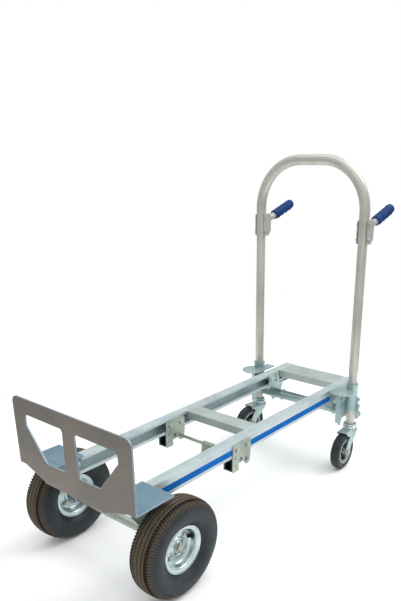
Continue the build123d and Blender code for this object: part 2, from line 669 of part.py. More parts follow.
rail = make_rail()
lock_faces = (RAIL_IN - LOCK_T, RAIL_OUT + LOCK_T)
frame_bolts = [bolt_y(x, z, lock_faces[0], WEB_IN) + bolt_y(x, z, lock_faces[1], WEB_IN) for x, z in LOCK_BOLTS]
frame_bolts += [bolt_y(x, TOE_BOLT_Z, RAIL_IN - PLATE, WEB_IN + LOCK_T) for x in TOE_BOLT_X]
frame_bolts += [bolt_y(SADDLE_BOLT_X, z, RAIL_IN - PLATE, WEB_IN + LOCK_T) for z in SADDLE_BOLT_Z]
bolts_all = frame_bolts + [mirror(bolt, about=Plane.XZ) for bolt in frame_bolts]
pivot_bolts = make_pivot_bolts()
add_both("rail", rail - frame_bolts - pivot_bolts)
strip_z = (STRIP_Z - STRIP_H / 2, STRIP_Z + STRIP_H / 2)
strip = block(RAIL_START, RAIL_END - PLATE / 2, RAIL_OUT - STRIP_DEPTH, RAIL_OUT, *strip_z)
add_both("rail_strip", strip - frame_bolts - pivot_bolts)
add("mid_crossbar", make_crossbar(MID_BAR))
add("end_crossbar", make_crossbar(END_BAR))
add("toe_plate", make_toe_plate() - bolts_all)
add("frame_bolts", *bolts_all)
add_both("axle_bracket", make_axle_bracket())
add("axle", make_axle())
add("axle_washers", make_axle_washers())
add_both("lock_plate_outer", sheet_xz(lock_outline(), RAIL_OUT, RAIL_OUT + LOCK_T) - frame_bolts)
add_both("lock_plate_inner", sheet_xz(lock_outline(), RAIL_IN - LOCK_T, RAIL_IN) - frame_bolts)
add("slot_liners", make_liners())
add_both("pivot_saddle", make_saddle() - frame_bolts - pivot_bolts)
add("pivot_bolts", pivot_bolts)
add("cross_tube", make_cross_tube())
add("latch_rod", make_latch_rod())
add("latch_hooks", make_latch_hooks())
add("latch_lever", make_latch_lever())

add_both("collar_sleeve", make_sleeve())
add_both("collar_bracket", make_collar())
add("collar_hooks", *both(make_hook()))

handle_bolts = make_handle_bolts()
tie_rod = rod_y(LEG_X, TIE_Z, TIE_R, -LEG_Y, LEG_Y)
add_both("leg", make_leg(tie_rod, handle_bolts))
add("tie_rod", tie_rod)
add("handle_loop", make_loop(handle_bolts))
add("handle_bolts", handle_bolts)
grip_arm = make_grip_arm(handle_bolts)
add_both("grip_arm", grip_arm)
add_both("grip", make_grip(grip_arm))

add_both("caster_stem", make_stem())
caster = {
    "fork": make_fork(),
    "axle": make_caster_axle(),
    "core": make_caster_core(),
    "tyre": make_caster_tyre(),
}
for piece, shape in caster.items():
    add("caster_" + piece + "_left", turned(shape, -CASTER_TURN_LEFT))
    add("caster_" + piece + "_right", mirror(turned(shape, -CASTER_TURN_RIGHT), about=Plane.XZ))

rim_bolts = make_rim_bolts()
valve = make_valve()
add_both("tyre", make_tyre())
add_both("rim_outer", make_rim_half(1, rim_bolts, valve))
add_both("rim_inner", make_rim_half(-1, rim_bolts, valve))
add_both("hub", make_hub())
add_both("rim_bolts", rim_bolts)
add_both("valve", valve)

os.makedirs("parts", exist_ok=True)
for name, shape in parts.items():
    export_step(shape, "parts/" + name + ".step")
    print(name, [round(v, 1) for v in shape.bounding_box().size])
print(len(parts), "parts; X_MID", round(X_MID, 3))
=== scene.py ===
import json
import math

import bmesh
import bpy
from mathutils import Matrix, Vector


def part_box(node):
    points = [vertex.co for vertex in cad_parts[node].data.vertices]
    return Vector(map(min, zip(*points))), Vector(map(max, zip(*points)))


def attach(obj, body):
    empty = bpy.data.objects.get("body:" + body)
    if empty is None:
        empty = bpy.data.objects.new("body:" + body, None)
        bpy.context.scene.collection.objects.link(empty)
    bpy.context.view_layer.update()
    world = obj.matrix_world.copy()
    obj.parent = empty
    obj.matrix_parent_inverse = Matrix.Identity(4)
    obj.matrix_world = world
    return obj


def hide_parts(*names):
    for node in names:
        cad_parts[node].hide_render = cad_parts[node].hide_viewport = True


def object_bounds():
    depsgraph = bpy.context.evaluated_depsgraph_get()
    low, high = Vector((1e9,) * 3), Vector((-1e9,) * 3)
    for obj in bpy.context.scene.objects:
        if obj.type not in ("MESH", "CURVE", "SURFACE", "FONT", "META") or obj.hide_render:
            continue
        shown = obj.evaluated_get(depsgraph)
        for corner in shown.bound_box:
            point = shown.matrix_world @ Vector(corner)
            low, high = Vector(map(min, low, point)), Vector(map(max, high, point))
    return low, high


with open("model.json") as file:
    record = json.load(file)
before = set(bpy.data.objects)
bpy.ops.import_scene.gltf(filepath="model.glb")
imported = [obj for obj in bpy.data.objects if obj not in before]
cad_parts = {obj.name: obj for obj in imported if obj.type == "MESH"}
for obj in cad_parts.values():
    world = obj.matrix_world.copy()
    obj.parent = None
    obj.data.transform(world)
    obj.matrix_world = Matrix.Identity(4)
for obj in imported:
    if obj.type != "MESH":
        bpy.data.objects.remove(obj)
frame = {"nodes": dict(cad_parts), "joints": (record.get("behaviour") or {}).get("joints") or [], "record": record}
cad_low, cad_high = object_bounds()

MM = 0.001
SIDES = {"left": 1, "right": -1}

# Camera, measured from the front face of the toe plate, the middle plane and the floor
CAMERA_PLACE = (-0.7714, -1.1186, 1.0187)
CAMERA_YAW = 38.834
CAMERA_PITCH = -21.06
CAMERA_ROLL = 0.16
CAMERA_LENS = 36.64
CAMERA_SHIFT = (-0.0546, 0.157)
FLOOR_R = 1.35

# Tyre: half section from the crown to the bead, as (offset, radius, zigzag share, slot depth) in mm
TYRE_SECTION = (
    (0.9, 126.6, 1, 0), (1.6, 129.9, 1, 0), (6.0, 129.8, 1, 0), (10.4, 129.5, 1, 0),
    (11.2, 126.4, 1, 0), (13.2, 126.2, 1, 0), (14.0, 129.1, 1, 0), (17.2, 128.6, 1, 0),
    (19.6, 128.0, 1, 0), (20.4, 124.9, 0.8, 0), (22.2, 124.5, 0.4, 0), (23.0, 127.1, 0, 3.2),
    (26.0, 126.3, 0, 3.6), (30.0, 124.0, 0, 3.8), (34.0, 120.4, 0, 3.8), (37.0, 116.2, 0, 3.4),
    (39.0, 112.0, 0, 2.8), (40.2, 108.6, 0, 2.0), (40.9, 105.4, 0, 0), (41.6, 101.5, 0, 0),
    (41.9, 96.0, 0, 0), (41.7, 90.0, 0, 0), (40.7, 84.5, 0, 0), (38.8, 79.2, 0, 0),
    (37.6, 77.4, 0, 0), (37.4, 76.4, 0, 0), (36.2, 75.4, 0, 0), (33.0, 71.0, 0, 0),
    (30.0, 67.6, 0, 0), (27.2, 65.2, 0, 0), (25.0, 63.4, 0, 0), (23.0, 58.0, 0, 0),
)
TREAD_BLOCKS = 96
BLOCK_PHASES = ((0.0, 0), (0.12, 1), (0.46, 1), (0.58, 0), (0.8, 0))
ZIGZAG = 2.0
SLOT_SLANT = 0.0016

# Rim half: closed section as (radius, offset from the wheel's middle) in mm
RIM_SECTION = (
    (20.4, 2.0), (20.4, 8.8), (21.2, 9.6), (22.6, 9.4), (24.4, 7.6), (25.6, 5.4), (27.2, 4.6),
    (40.6, 4.3), (43.4, 4.9), (45.8, 6.8), (47.6, 10.2), (49.2, 17.0), (50.4, 21.2), (52.2, 23.6),
    (54.8, 24.5), (58.4, 24.8), (60.4, 25.8), (61.8, 27.1), (62.8, 27.4), (63.4, 26.6), (63.4, 25.0),
    (62.4, 23.6), (58.8, 22.8), (55.2, 22.4), (53.2, 20.8), (52.4, 17.0), (52.4, 0.6), (50.0, 0.6),
)
RIM_BOLT_PITCH = 34.0
RIM_BOLT_ANGLES = (40, 130, 220, 310)
RIM_FACE = 4.4
HUB_SECTION = (
    (8.1, 8.6), (8.6, 9.0), (9.6, 9.0), (10.0, 8.4), (10.0, 7.2), (12.6, 7.2), (12.8, 8.5),
    (13.4, 9.0), (14.7, 9.0), (15.5, 8.2), (15.5, 6.6), (17.0, 5.6), (19.9, 4.9), (19.9, -4.9),
    (17.2, -5.6), (15.5, -7.4), (15.5, -44.2), (14.7, -45.0), (13.4, -45.0), (12.8, -44.5),
    (12.6, -43.2), (10.0, -43.2), (10.0, -44.4), (9.6, -45.0), (8.6, -45.0), (8.1, -44.6),
)
SEAL_SECTION = ((10.0, 0.0), (10.0, 1.0), (11.2, 1.3), (12.6, 0.9), (12.6, 0.0))
SEAL_PLACES = ((7.0, 1), (-43.0, -1))
AXLE_R = 8.0
AXLE_MIDDLE = (12.0, 128.0)
BRACKET_FACE = 132.2
PIN_PLACE = 222.0
VALVE_PITCH = 44.0
VALVE_ANGLE = 12.0
VALVE_SECTION = (
    (0, 4.0), (6.0, 4.2), (6.4, 5.2), (5.4, 6.4), (4.4, 7.2), (4.0, 9.0), (3.5, 14.0), (3.0, 14.6),
    (0, 14.6),
)
VALVE_CAP_SECTION = ((0, 14.0), (3.3, 14.2), (3.5, 14.8), (3.5, 19.4), (3.0, 20.6), (1.8, 21.0), (0, 21.0))

# Handle grip: length and radii along its axis, in mm
GRIP_TILT = 18.0
GRIP_SETBACK = 21.0
GRIP_HEIGHT = 814.0
GRIP_FROM = 58.0
GRIP_LENGTH = 113.0
GRIP_R = 15.7
GRIP_END = 8.0
FINGER_PITCH = 24.0
FINGER_FIRST = 18.0
FINGER_DEPTH = 2.8
FLUTES = 26

# Casters, in mm
CASTER_TRAIL = 50.0
CASTER_TYRE = (
    (44.2, 12.6), (47.2, 14.4), (50.8, 15.9), (54.5, 16.0), (58.1, 15.4), (61.1, 13.4), (62.6, 11.0),
    (62.9, 9.6), (62.2, 9.2), (62.2, 8.6), (63.1, 8.2), (63.45, 5.0), (63.5, 0.0),
)
CASTER_RING = (
    (44.2, 12.6), (43.6, 14.6), (40.6, 15.0), (38.0, 14.0), (37.0, 10.0), (36.4, 4.2), (36.0, 3.0),
)
CASTER_HUB = ((5.1, 18.4), (9.4, 18.6), (10.2, 17.8), (10.8, 12.0), (13.0, 5.0), (14.0, 3.0))
CASTER_SPOKES = 5
FORK_HALF = 20.6
FORK_BEND = 7.0
FORK_BACK = (
    (63.5, -63.0), (73.0, -62.5), (92.0, -52.0), (108.0, -41.0), (116.0, -39.0), (121.0, -45.0),
    (125.0, -56.0),
)
FORK_FRONT = ((63.5, -37.0), (75.0, -30.0), (96.0, -7.0), (112.0, 10.0), (125.0, 19.0))
FORK_TOP = 133.4
FORK_EYE = 13.0
RACE_SECTION = (
    (6.2, 131.6), (19.0, 131.8), (21.6, 132.6), (23.2, 134.4), (24.0, 137.0), (24.0, 141.2),
    (23.2, 143.0), (21.4, 144.0), (20.6, 145.2), (19.4, 145.6), (6.2, 145.6),
)
STEM_SECTION = (
    (0, 126.4), (8.4, 126.4), (8.9, 127.0), (8.9, 130.0), (8.4, 130.6), (6.0, 130.6), (6.0, 146.2),
    (19.6, 146.2), (21.6, 147.2), (22.9, 148.8), (22.9, 150.4), (21.8, 151.6), (19.0, 151.9),
    (12.4, 151.9), (12.4, 166.0), (0, 166.0),
)
FORK_THICKNESS = 2.8
FORK_EDGE = 0.6
CASTER_BOLT_HALF = 22.0
CASTER_BOLT_R = 4.9

# Bolts: head as (radius, height, washer thickness), stud as (radius, length), in mm
CASTER_BOLT_HEAD = (8.0, 4.6, 1.2)
RIM_BOLT_HEAD = (5.6, 3.6, 1.0)
RIM_BOLT_NUT = (5.6, 4.2, 1.0)
RIM_BOLT_STUD = (3.2, 8.0)

# Cross bolts: head as (height, washer thickness), and how far its seat lies inside the end of the bolt, in mm
CROSS_HEAD = (3.2, 1.1)
CROSS_HEAD_STACK = 4.5
CROSS_SHANK_R = 3.9
FRAME_HEAD_R = 6.2
HANDLE_HEAD_R = 6.0

# Washers, spacers and split pins of the axle, in mm
HUB_GAP = 0.3
AXLE_WASHER_R = 12.6
AXLE_WASHER_T = 2.0
AXLE_SPACER_R = 11.4
SPLIT_PIN_R = 1.25

# Weld beads of the toe plate and rounded edges of the CAD nodes, in mm
WELD_INSET = 4.4
WELD_ABOVE_RAIL = 4.4
WELD_START = 118.0
WELD_SHORT = 3.0
WELD_R = 1.9
NODE_EDGE = 0.45

# Finishes: features per metre, and depth of the grain in metres
DRAWN_GRAIN = 700
MOULDED_GRAIN = 1400
GRAIN_DEPTH = 0.0004

# Lights: name, strength, azimuth, elevation and width in degrees; and the sky low down and high up
SUNS = (("key_light", 1.5, 325, 50, 35), ("top_light", 0.85, 60, 80, 70), ("fill_light", 0.4, 215, 35, 70))
SKY_LOW = (0.52, 0.53, 0.53, 1)
SKY_HIGH = (0.78, 0.79, 0.80, 1)


# ---------------------------------------------------------------- node trees
def tone(red, green, blue):
    """Linear colour from display values of 0 to 255."""
    return (*[(v / 255) ** 2.2 for v in (red, green, blue)], 1.0)


def put(tree, kind, values, **options):
    """New node whose inputs are set to values or linked to sockets."""
    node = tree.nodes.new(kind)
    for option, value in options.items():
        setattr(node, option, value)
    for key, value in values.items():
        if isinstance(value, bpy.types.NodeSocket):
            tree.links.new(value, node.inputs[key])
        else:
            node.inputs[key].default_value = value
    return node


def noise(tree, scale, stretch=(1, 1, 1), detail=4.0):
    """Noise in the piece's own coordinates, in features per metre."""
    place = put(tree, "ShaderNodeTexCoord", {}).outputs["Object"]
    place = put(tree, "ShaderNodeMapping", {"Vector": place, "Scale": stretch}).outputs[0]
    return put(tree, "ShaderNodeTexNoise", {"Vector": place, "Scale": scale, "Detail": detail}).outputs[0]


def spread(tree, value, low, high, to_low=0.0, to_high=1.0):
    """Value mapped from low..high to another range, and kept inside it."""
    ranges = {"Value": value, "From Min": low, "From Max": high, "To Min": to_low, "To Max": to_high}
    return put(tree, "ShaderNodeMapRange", ranges).outputs[0]


def maths(tree, operation, *values):
    return put(tree, "ShaderNodeMath", dict(enumerate(values)), operation=operation).outputs[0]


def mix(tree, factor, first, second):
    """Blend of two colours."""
    return put(tree, "ShaderNodeMix", {0: factor, 6: first, 7: second}, data_type="RGBA").outputs[2]


def bump(tree, height, strength, distance):
    values = {"Height": height, "Strength": strength, "Distance": distance}
    return put(tree, "ShaderNodeBump", values).outputs[0]


def new_material(name, **fixed):
    """Material with its shader's uniform values set on the shader itself."""
    material = bpy.data.materials.new(name)
    material.use_nodes = True
    shader = material.node_tree.nodes["Principled BSDF"]
    for key, value in fixed.items():
        shader.inputs[key.replace("_", " ")].default_value = value
    return material, material.node_tree, shader


def wire(tree, shader, **sockets):
    for key, value in sockets.items():
        tree.links.new(value, shader.inputs[key.replace("_", " ")])


def edge_wear(tree, width):
    """1 along sharp edges, 0 on flat and gently curved faces."""
    rounded = put(tree, "ShaderNodeBevel", {"Radius": width}, samples=4).outputs[0]
    true = put(tree, "ShaderNodeNewGeometry", {}).outputs["Normal"]
    agree = put(tree, "ShaderNodeVectorMath", {0: rounded, 1: true}, operation="DOT_PRODUCT").outputs["Value"]
    return spread(tree, agree, 0.995, 0.9)


# ---------------------------------------------------------------- materials
def metal(name, colour, shade, rough, stretch=(1, 1, 1), relief=0.12, spots=0.0, metallic=1.0, wear=0.55):
    """Bare or plated metal with a drawn grain, cloudy tarnish, fine scratches and brighter edges."""
    material, tree, shader = new_material(name, Metallic=metallic)
    lines = noise(tree, DRAWN_GRAIN, stretch, 3.0)
    clouds = noise(tree, 14, detail=6.0)
    body = mix(tree, spread(tree, clouds, 0.38, 0.68), colour, shade)
    body = mix(tree, spread(tree, lines, 0.3, 0.7, 0.0, 0.25), body, shade)
    if spots:
        flecks = spread(tree, noise(tree, 260, detail=2.0), 0.64, 0.72, 0.0, spots)
        body = mix(tree, flecks, body, (*[v * 0.4 for v in shade[:3]], 1.0))
    if wear:
        body = mix(tree, maths(tree, "MULTIPLY", edge_wear(tree, 1.2 * MM), wear), body, tone(250, 252, 252))
    scratches = spread(tree, noise(tree, 90, [0.2 * s + 0.05 for s in stretch], 8.0), 0.35, 0.65, -0.05, 0.07)
    roughness = maths(tree, "ADD", spread(tree, lines, 0.25, 0.75, *rough), scratches)
    wire(tree, shader, Base_Color=body, Roughness=roughness, Normal=bump(tree, lines, relief, GRAIN_DEPTH))
    return material


def toe_plate_finish_and_painted_light():
    """Brushed plate with painted light: painted shade on the upright face, a painted sky reflection on the wings
    and cheeks.
    """
    material, tree, shader = new_material("toe_plate_alloy", Metallic=0.6)
    # painted light: the colour follows the way a face points, not the metal
    facing = put(tree, "ShaderNodeTexCoord", {}).outputs["Normal"]
    axes = put(tree, "ShaderNodeSeparateXYZ", {0: facing}).outputs
    flat = spread(tree, maths(tree, "ABSOLUTE", axes[0]), 0.3, 0.8, 1.0, 0.0)
    lines = noise(tree, 420, (1.0, 0.04, 1.0), 4.0)
    clouds = spread(tree, noise(tree, 7, detail=7.0), 0.35, 0.7)
    # painted shade, darker and warmer, on the upright faces; painted sky reflection, lighter and bluer, on the
    # level faces
    upright = mix(tree, clouds, tone(128, 120, 110), tone(114, 111, 105))
    level = mix(tree, clouds, tone(122, 150, 164), tone(98, 126, 142))
    body = mix(tree, flat, upright, level)
    body = mix(tree, spread(tree, lines, 0.35, 0.75, 0.0, 0.1), body, tone(84, 84, 84))
    scuffs = spread(tree, noise(tree, 60, (0.3, 1.0, 2.5), 9.0), 0.64, 0.72, 0.0, 0.12)
    body = mix(tree, scuffs, body, tone(168, 168, 164))
    body = mix(tree, maths(tree, "MULTIPLY", edge_wear(tree, 1.5 * MM), 0.8), body, tone(232, 238, 242))
    roughness = spread(tree, lines, 0.2, 0.8, 0.42, 0.54)
    wire(tree, shader, Base_Color=body, Roughness=roughness, Normal=bump(tree, lines, 0.15, GRAIN_DEPTH))
    return material


def plastic(name, colour, shade, rough, gloss=0.35):
    """Moulded plastic or rubber with a fine grain and dusty patches."""
    material, tree, shader = new_material(name, Specular_IOR_Level=gloss)
    grains = noise(tree, MOULDED_GRAIN, detail=2.0)
    clouds = noise(tree, 22, detail=6.0)
    body = mix(tree, spread(tree, clouds, 0.35, 0.72), colour, shade)
    pale = (*[min(1.0, v * 1.8 + 0.01) for v in colour[:3]], 1.0)
    body = mix(tree, maths(tree, "MULTIPLY", edge_wear(tree, 0.8 * MM), 0.5), body, pale)
    roughness = spread(tree, clouds, 0.3, 0.7, *rough)
    wire(tree, shader, Base_Color=body, Roughness=roughness, Normal=bump(tree, grains, 0.2, GRAIN_DEPTH))
    return material


def tyre_finish_and_painted_groove_shade(radius):
    """Black side walls that turn dusty brown over the tread, with painted shade in the grooves round the crown."""
    material, tree, shader = new_material("tyre_rubber", Specular_IOR_Level=0.3)
    place = put(tree, "ShaderNodeTexCoord", {}).outputs["Object"]
    axes = put(tree, "ShaderNodeSeparateXYZ", {0: place}).outputs
    across = put(tree, "ShaderNodeCombineXYZ", {0: axes[0], 2: axes[2]}).outputs[0]
    reach = put(tree, "ShaderNodeVectorMath", {0: across}, operation="LENGTH").outputs["Value"]
    clouds = noise(tree, 30, detail=7.0)
    tread = spread(tree, reach, radius * 0.84, radius * 0.95)
    dust = maths(tree, "MULTIPLY", tread, spread(tree, clouds, 0.2, 0.6, 0.6, 1.0))
    dark = mix(tree, spread(tree, clouds, 0.35, 0.7), tone(36, 44, 48), tone(46, 54, 58))
    specks = spread(tree, noise(tree, 300, detail=3.0), 0.3, 0.7)
    brown = mix(tree, specks, tone(98, 86, 70), tone(76, 67, 56))
    body = mix(tree, dust, dark, brown)
    # painted shade: the band from 0.955 to 0.98 of the radius, where the crown grooves lie, is darkened as if in
    # shadow
    crown = spread(tree, reach, radius * 0.955, radius * 0.96)
    painted_groove_shade_limit = spread(tree, reach, radius * 0.978, radius * 0.985, 1.0, 0.0)
    body = mix(tree, maths(tree, "MULTIPLY", crown, painted_groove_shade_limit), body, tone(34, 30, 27))
    roughness = spread(tree, dust, 0.0, 1.0, 0.46, 0.85)
    grains = noise(tree, 900, detail=3.0)
    wire(tree, shader, Base_Color=body, Roughness=roughness, Normal=bump(tree, grains, 0.25, 0.0005))
    return material


def floor_finish():
    material, tree, shader = new_material("floor", Roughness=0.9, Specular_IOR_Level=0.1)
    clouds = spread(tree, noise(tree, 0.8, detail=3.0), 0.3, 0.7)
    wire(tree, shader, Base_Color=mix(tree, clouds, tone(248, 248, 248), tone(245, 245, 246)))
    return material


TYRE_R = (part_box("tyre_left")[1].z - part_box("tyre_left")[0].z) / 2
FINISHES = {
    "aluminium_extrusion": metal(
        "aluminium_extrusion", tone(196, 208, 209), tone(172, 187, 190), (0.32, 0.46), (0.02, 1, 1),
        metallic=0.55,
    ),
    "aluminium_tube": metal(
        "aluminium_tube", tone(198, 197, 188), tone(180, 181, 172), (0.3, 0.42), (1, 1, 0.04),
        metallic=0.6, wear=0,
    ),
    "toe_plate_alloy": toe_plate_finish_and_painted_light(),
    "blue_strip": plastic("blue_strip", tone(0, 104, 182), tone(0, 90, 164), (0.5, 0.62), gloss=0.08),
    "zinc_steel": metal(
        "zinc_steel", tone(178, 186, 172), tone(146, 156, 146), (0.34, 0.48), spots=0.35, metallic=0.75,
    ),
    "blue_zinc_steel": metal(
        "blue_zinc_steel", tone(182, 200, 198), tone(146, 170, 170), (0.32, 0.46), spots=0.3, metallic=0.7,
    ),
    "polished_steel": metal(
        "polished_steel", tone(204, 216, 216), tone(172, 188, 190), (0.2, 0.32), relief=0.05,
    ),
    "blue_rubber": plastic("blue_rubber", tone(0, 62, 118), tone(0, 46, 94), (0.5, 0.66), gloss=0.15),
    "black_plastic": plastic("black_plastic", tone(38, 40, 40), tone(26, 28, 28), (0.4, 0.6)),
    "caster_rubber": plastic("caster_rubber", tone(40, 48, 50), tone(30, 36, 38), (0.32, 0.52)),
    "caster_core_grey": plastic("caster_core_grey", tone(164, 172, 170), tone(136, 146, 146), (0.4, 0.55)),
    "tyre_rubber": tyre_finish_and_painted_groove_shade(TYRE_R),
    "black_rubber": plastic("black_rubber", tone(34, 34, 34), tone(24, 24, 24), (0.45, 0.6)),
}

CROSSBAR_FINISH = metal(
    "crossbar_alloy", tone(178, 190, 184), tone(158, 170, 164), (0.36, 0.5), (1, 0.02, 1), metallic=0.5,
)


# ---------------------------------------------------------------- mesh helpers
def lathe(section, steps=96):
    """Closed section of (radius, height) in mm turned about Z. Points on the axis become poles."""
    verts, faces, rings = [], [], []
    for radius, height in section:
        count = steps if radius > 0 else 1
        rings.append(range(len(verts), len(verts) + count))
        for i in range(count):
            turn = 2 * math.pi * i / steps
            verts.append((radius * math.cos(turn) * MM, radius * math.sin(turn) * MM, height * MM))
    for a, b in zip(rings, rings[1:] + rings[:1]):
        for i in range(steps):
            j = (i + 1) % steps
            corners = [a[i % len(a)], a[j % len(a)], b[j % len(b)], b[i % len(b)]]
            corners = list(dict.fromkeys(corners))
            if len(corners) > 2:
                faces.append(corners)
    return verts, faces


def mirrored(section):
    """Section given on one side of its middle, made whole."""
    return [*section, *[(r, -h) for r, h in reversed(section) if h]]


def moved(shape, matrix):
    verts, faces = shape
    return [tuple(matrix @ Vector(v)) for v in verts], faces


def joined(shapes):
    verts, faces = [], []
    for more_verts, more_faces in shapes:
        start = len(verts)
        verts += more_verts
        faces += [[start + i for i in face] for face in more_faces]
    return verts, faces


def along(origin, axis, side=(1, 0, 0)):
    """Matrix that turns Z to axis and X towards side, at an origin in metres."""
    z = Vector(axis).normalized()
    y = z.cross(Vector(side)).normalized()
    matrix = Matrix((y.cross(z), y, z)).transposed().to_4x4()
    matrix.translation = Vector(origin)
    return matrix


def make_piece(name, shape, body, slot, replaced=(), origin=(0, 0, 0), sharp=32):
    """Smooth-shaded piece on a body; its vertices are measured from its origin."""
    verts, faces = shape
    mesh = bpy.data.meshes.new(name)
    mesh.from_pydata([tuple(v) for v in verts], [], faces)
    work = bmesh.new()
    work.from_mesh(mesh)
    bmesh.ops.recalc_face_normals(work, faces=work.faces)
    work.to_mesh(mesh)
    work.free()
    mesh.shade_smooth()
    mesh.set_sharp_from_angle(angle=math.radians(sharp))
    mesh.materials.append(FINISHES[slot])
    piece = bpy.data.objects.new(name, mesh)
    piece.location = origin
    bpy.context.scene.collection.objects.link(piece)
    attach(piece, body)
    if replaced:
        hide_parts(*replaced)
    return piece


def middle(node):
    low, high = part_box(node)
    return (low + high) / 2


def solids_of(node):
    """(lowest, highest) corner of each separate solid of a CAD node."""
    mesh = frame["nodes"][node].data
    home = {}
    parent = list(range(len(mesh.vertices)))

    def find(i):
        while parent[i] != i:
            parent[i] = parent[parent[i]]
            i = parent[i]
        return i

    for vertex in mesh.vertices:
        key = tuple(round(c, 6) for c in vertex.co)
        parent[vertex.index] = find(home.setdefault(key, vertex.index))
    for edge in mesh.edges:
        parent[find(edge.vertices[0])] = find(edge.vertices[1])
    groups = {}
    for vertex in mesh.vertices:
        groups.setdefault(find(vertex.index), []).append(vertex.co)
    corners = []
    for group in groups.values():
        lowest = Vector([min(c[k] for c in group) for k in range(3)])
        highest = Vector([max(c[k] for c in group) for k in range(3)])
        corners.append((lowest, highest))
    return corners


# ---------------------------------------------------------------- fasteners
def hex_head(radius, height, washer=0.0):
    """Hexagon head or nut with chamfered corners, standing on a round washer. Sizes in mm."""
    top = washer + height
    head = lathe([
        (0, washer), (radius * 0.93, washer), (radius, washer + 0.12 * height),
        (radius, top - 0.22 * height), (radius * 0.88, top), (0, top),
    ], 6)
    dome = [(0, top - 0.1), (radius * 0.72, top - 0.1), (radius * 0.66, top + 0.25), (0, top + 0.3)]
    crown = lathe(dome, 24)
    shapes = [head, crown]
    if washer:
        w = radius * 1.32
        section = [(0, 0), (w - 0.3, 0), (w, 0.3), (w, washer - 0.3), (w - 0.3, washer), (0, washer)]
        shapes.append(lathe(section, 36))
    return joined(shapes)


def stud_end(radius, length):
    """Threaded end of a bolt: shallow rings and a chamfered tip."""
    section = [(0, 0)]
    height = 0.0
    while height < length - 1.2:
        section += [(radius, height), (radius * 0.88, height + 0.5)]
        height += 1.0
    return lathe([*section, (radius * 0.92, length - 1.0), (radius * 0.6, length), (0, length)], 24)


def make_cross_bolts(name, body, head_radius, both_ends):
    """Bolts along Y in place of a CAD group: hexagon heads on washers, and a shank through each."""
    shapes = []
    for low, high in solids_of(name):
        centre = (low + high) / 2
        inner_out = 1 if centre.y > 0 else -1
        ends = {1: high.y, -1: low.y}
        for way, reach in ends.items():
            if way == inner_out and not both_ends(low, high):
                continue
            seat = Vector((centre.x, reach - way * CROSS_HEAD_STACK * MM, centre.z))
            twist = math.radians(37 * centre.x * 100 + 19 * centre.z * 100)
            side = (math.cos(twist), 0, math.sin(twist))
            shapes.append(moved(hex_head(head_radius, *CROSS_HEAD), along(seat, (0, way, 0), side)))
        start, end = low.y / MM, high.y / MM
        shank = lathe([(0, start), (CROSS_SHANK_R, start + 1), (CROSS_SHANK_R, end - 1), (0, end)], 24)
        shapes.append(moved(shank, along((centre.x, 0, centre.z), (0, 1, 0))))
    make_piece(name.replace("bolts", "hex_bolts"), joined(shapes), body, "zinc_steel", [name])


# ---------------------------------------------------------------- main wheels
def tyre_shape():
    """Grid of section points and angles: zigzag grooves round the crown, slanted slots on both shoulders."""
    half = list(TYRE_SECTION)
    section = [(-w, r, z, s) for w, r, z, s in reversed(half)] + half
    angles = [(block + phase, cut) for block in range(TREAD_BLOCKS) for phase, cut in BLOCK_PHASES]
    verts, faces = [], []
    for place, cut in angles:
        zigzag = ZIGZAG * (4 * abs(place % 1 - 0.5) - 1)
        for w, r, zig, slot in section:
            slant = SLOT_SLANT * max(0.0, abs(w) - 25.0) * (1 if slot else 0)
            turn = 2 * math.pi * place / TREAD_BLOCKS + slant
            reach = r - slot * cut
            across = w + zigzag * zig
            verts.append((reach * math.cos(turn) * MM, across * MM, reach * math.sin(turn) * MM))
    size = len(section)
    for i in range(len(angles)):
        j = (i + 1) % len(angles)
        for k in range(size):
            m = (k + 1) % size
            faces.append((i * size + k, j * size + k, j * size + m, i * size + m))
    return verts, faces


def make_wheel(side, sign):
    body = "wheel_" + side
    hub = middle("tyre_" + side)
    axis = (0, sign, 0)
    make_piece("tyre_tread_" + side, tyre_shape(), body, "tyre_rubber", ["tyre_" + side], hub, 24)
    for half, way in (("outer", 1), ("inner", -1)):
        matrix = along((0, 0, 0), (0, sign * way, 0))
        rim = moved(lathe(RIM_SECTION, 128), matrix)
        cad_rim = [f"rim_{half}_{side}"]
        make_piece(f"rim_pressing_{half}_{side}", rim, body, "polished_steel", cad_rim, hub, 40)
    barrel = moved(lathe(HUB_SECTION, 72), along((0, 0, 0), axis))
    make_piece("hub_barrel_" + side, barrel, body, "polished_steel", ["hub_" + side], hub)
    seals = []
    for offset, way in SEAL_PLACES:
        seals.append(moved(lathe(SEAL_SECTION, 64), along((0, sign * offset * MM, 0), (0, sign * way, 0))))
    make_piece("bearing_seals_" + side, joined(seals), body, "black_rubber", (), hub)
    bolts = []
    for angle in RIM_BOLT_ANGLES:
        turn = math.radians(angle)
        x, z = RIM_BOLT_PITCH * math.cos(turn) * MM, RIM_BOLT_PITCH * math.sin(turn) * MM
        head_turn = (math.cos(turn), 0, math.sin(turn))
        outer = along((x, sign * RIM_FACE * MM, z), axis, head_turn)
        inner = along((x, -sign * RIM_FACE * MM, z), (0, -sign, 0), head_turn)
        bolts.append(moved(hex_head(*RIM_BOLT_HEAD), outer))
        bolts.append(moved(hex_head(*RIM_BOLT_NUT), inner))
        bolts.append(moved(stud_end(*RIM_BOLT_STUD), inner))
    make_piece("rim_hex_bolts_" + side, joined(bolts), body, "zinc_steel", ["rim_bolts_" + side], hub)
    turn = math.radians(VALVE_ANGLE)
    place = (VALVE_PITCH * math.cos(turn) * MM, 0, VALVE_PITCH * math.sin(turn) * MM)
    seat = along(place, axis)
    stem, cap = moved(lathe(VALVE_SECTION, 40), seat), moved(lathe(VALVE_CAP_SECTION, 20), seat)
    make_piece("valve_stem_" + side, stem, body, "black_rubber", ["valve_" + side], hub)
    make_piece("valve_cap_" + side, cap, body, "black_plastic", (), hub)


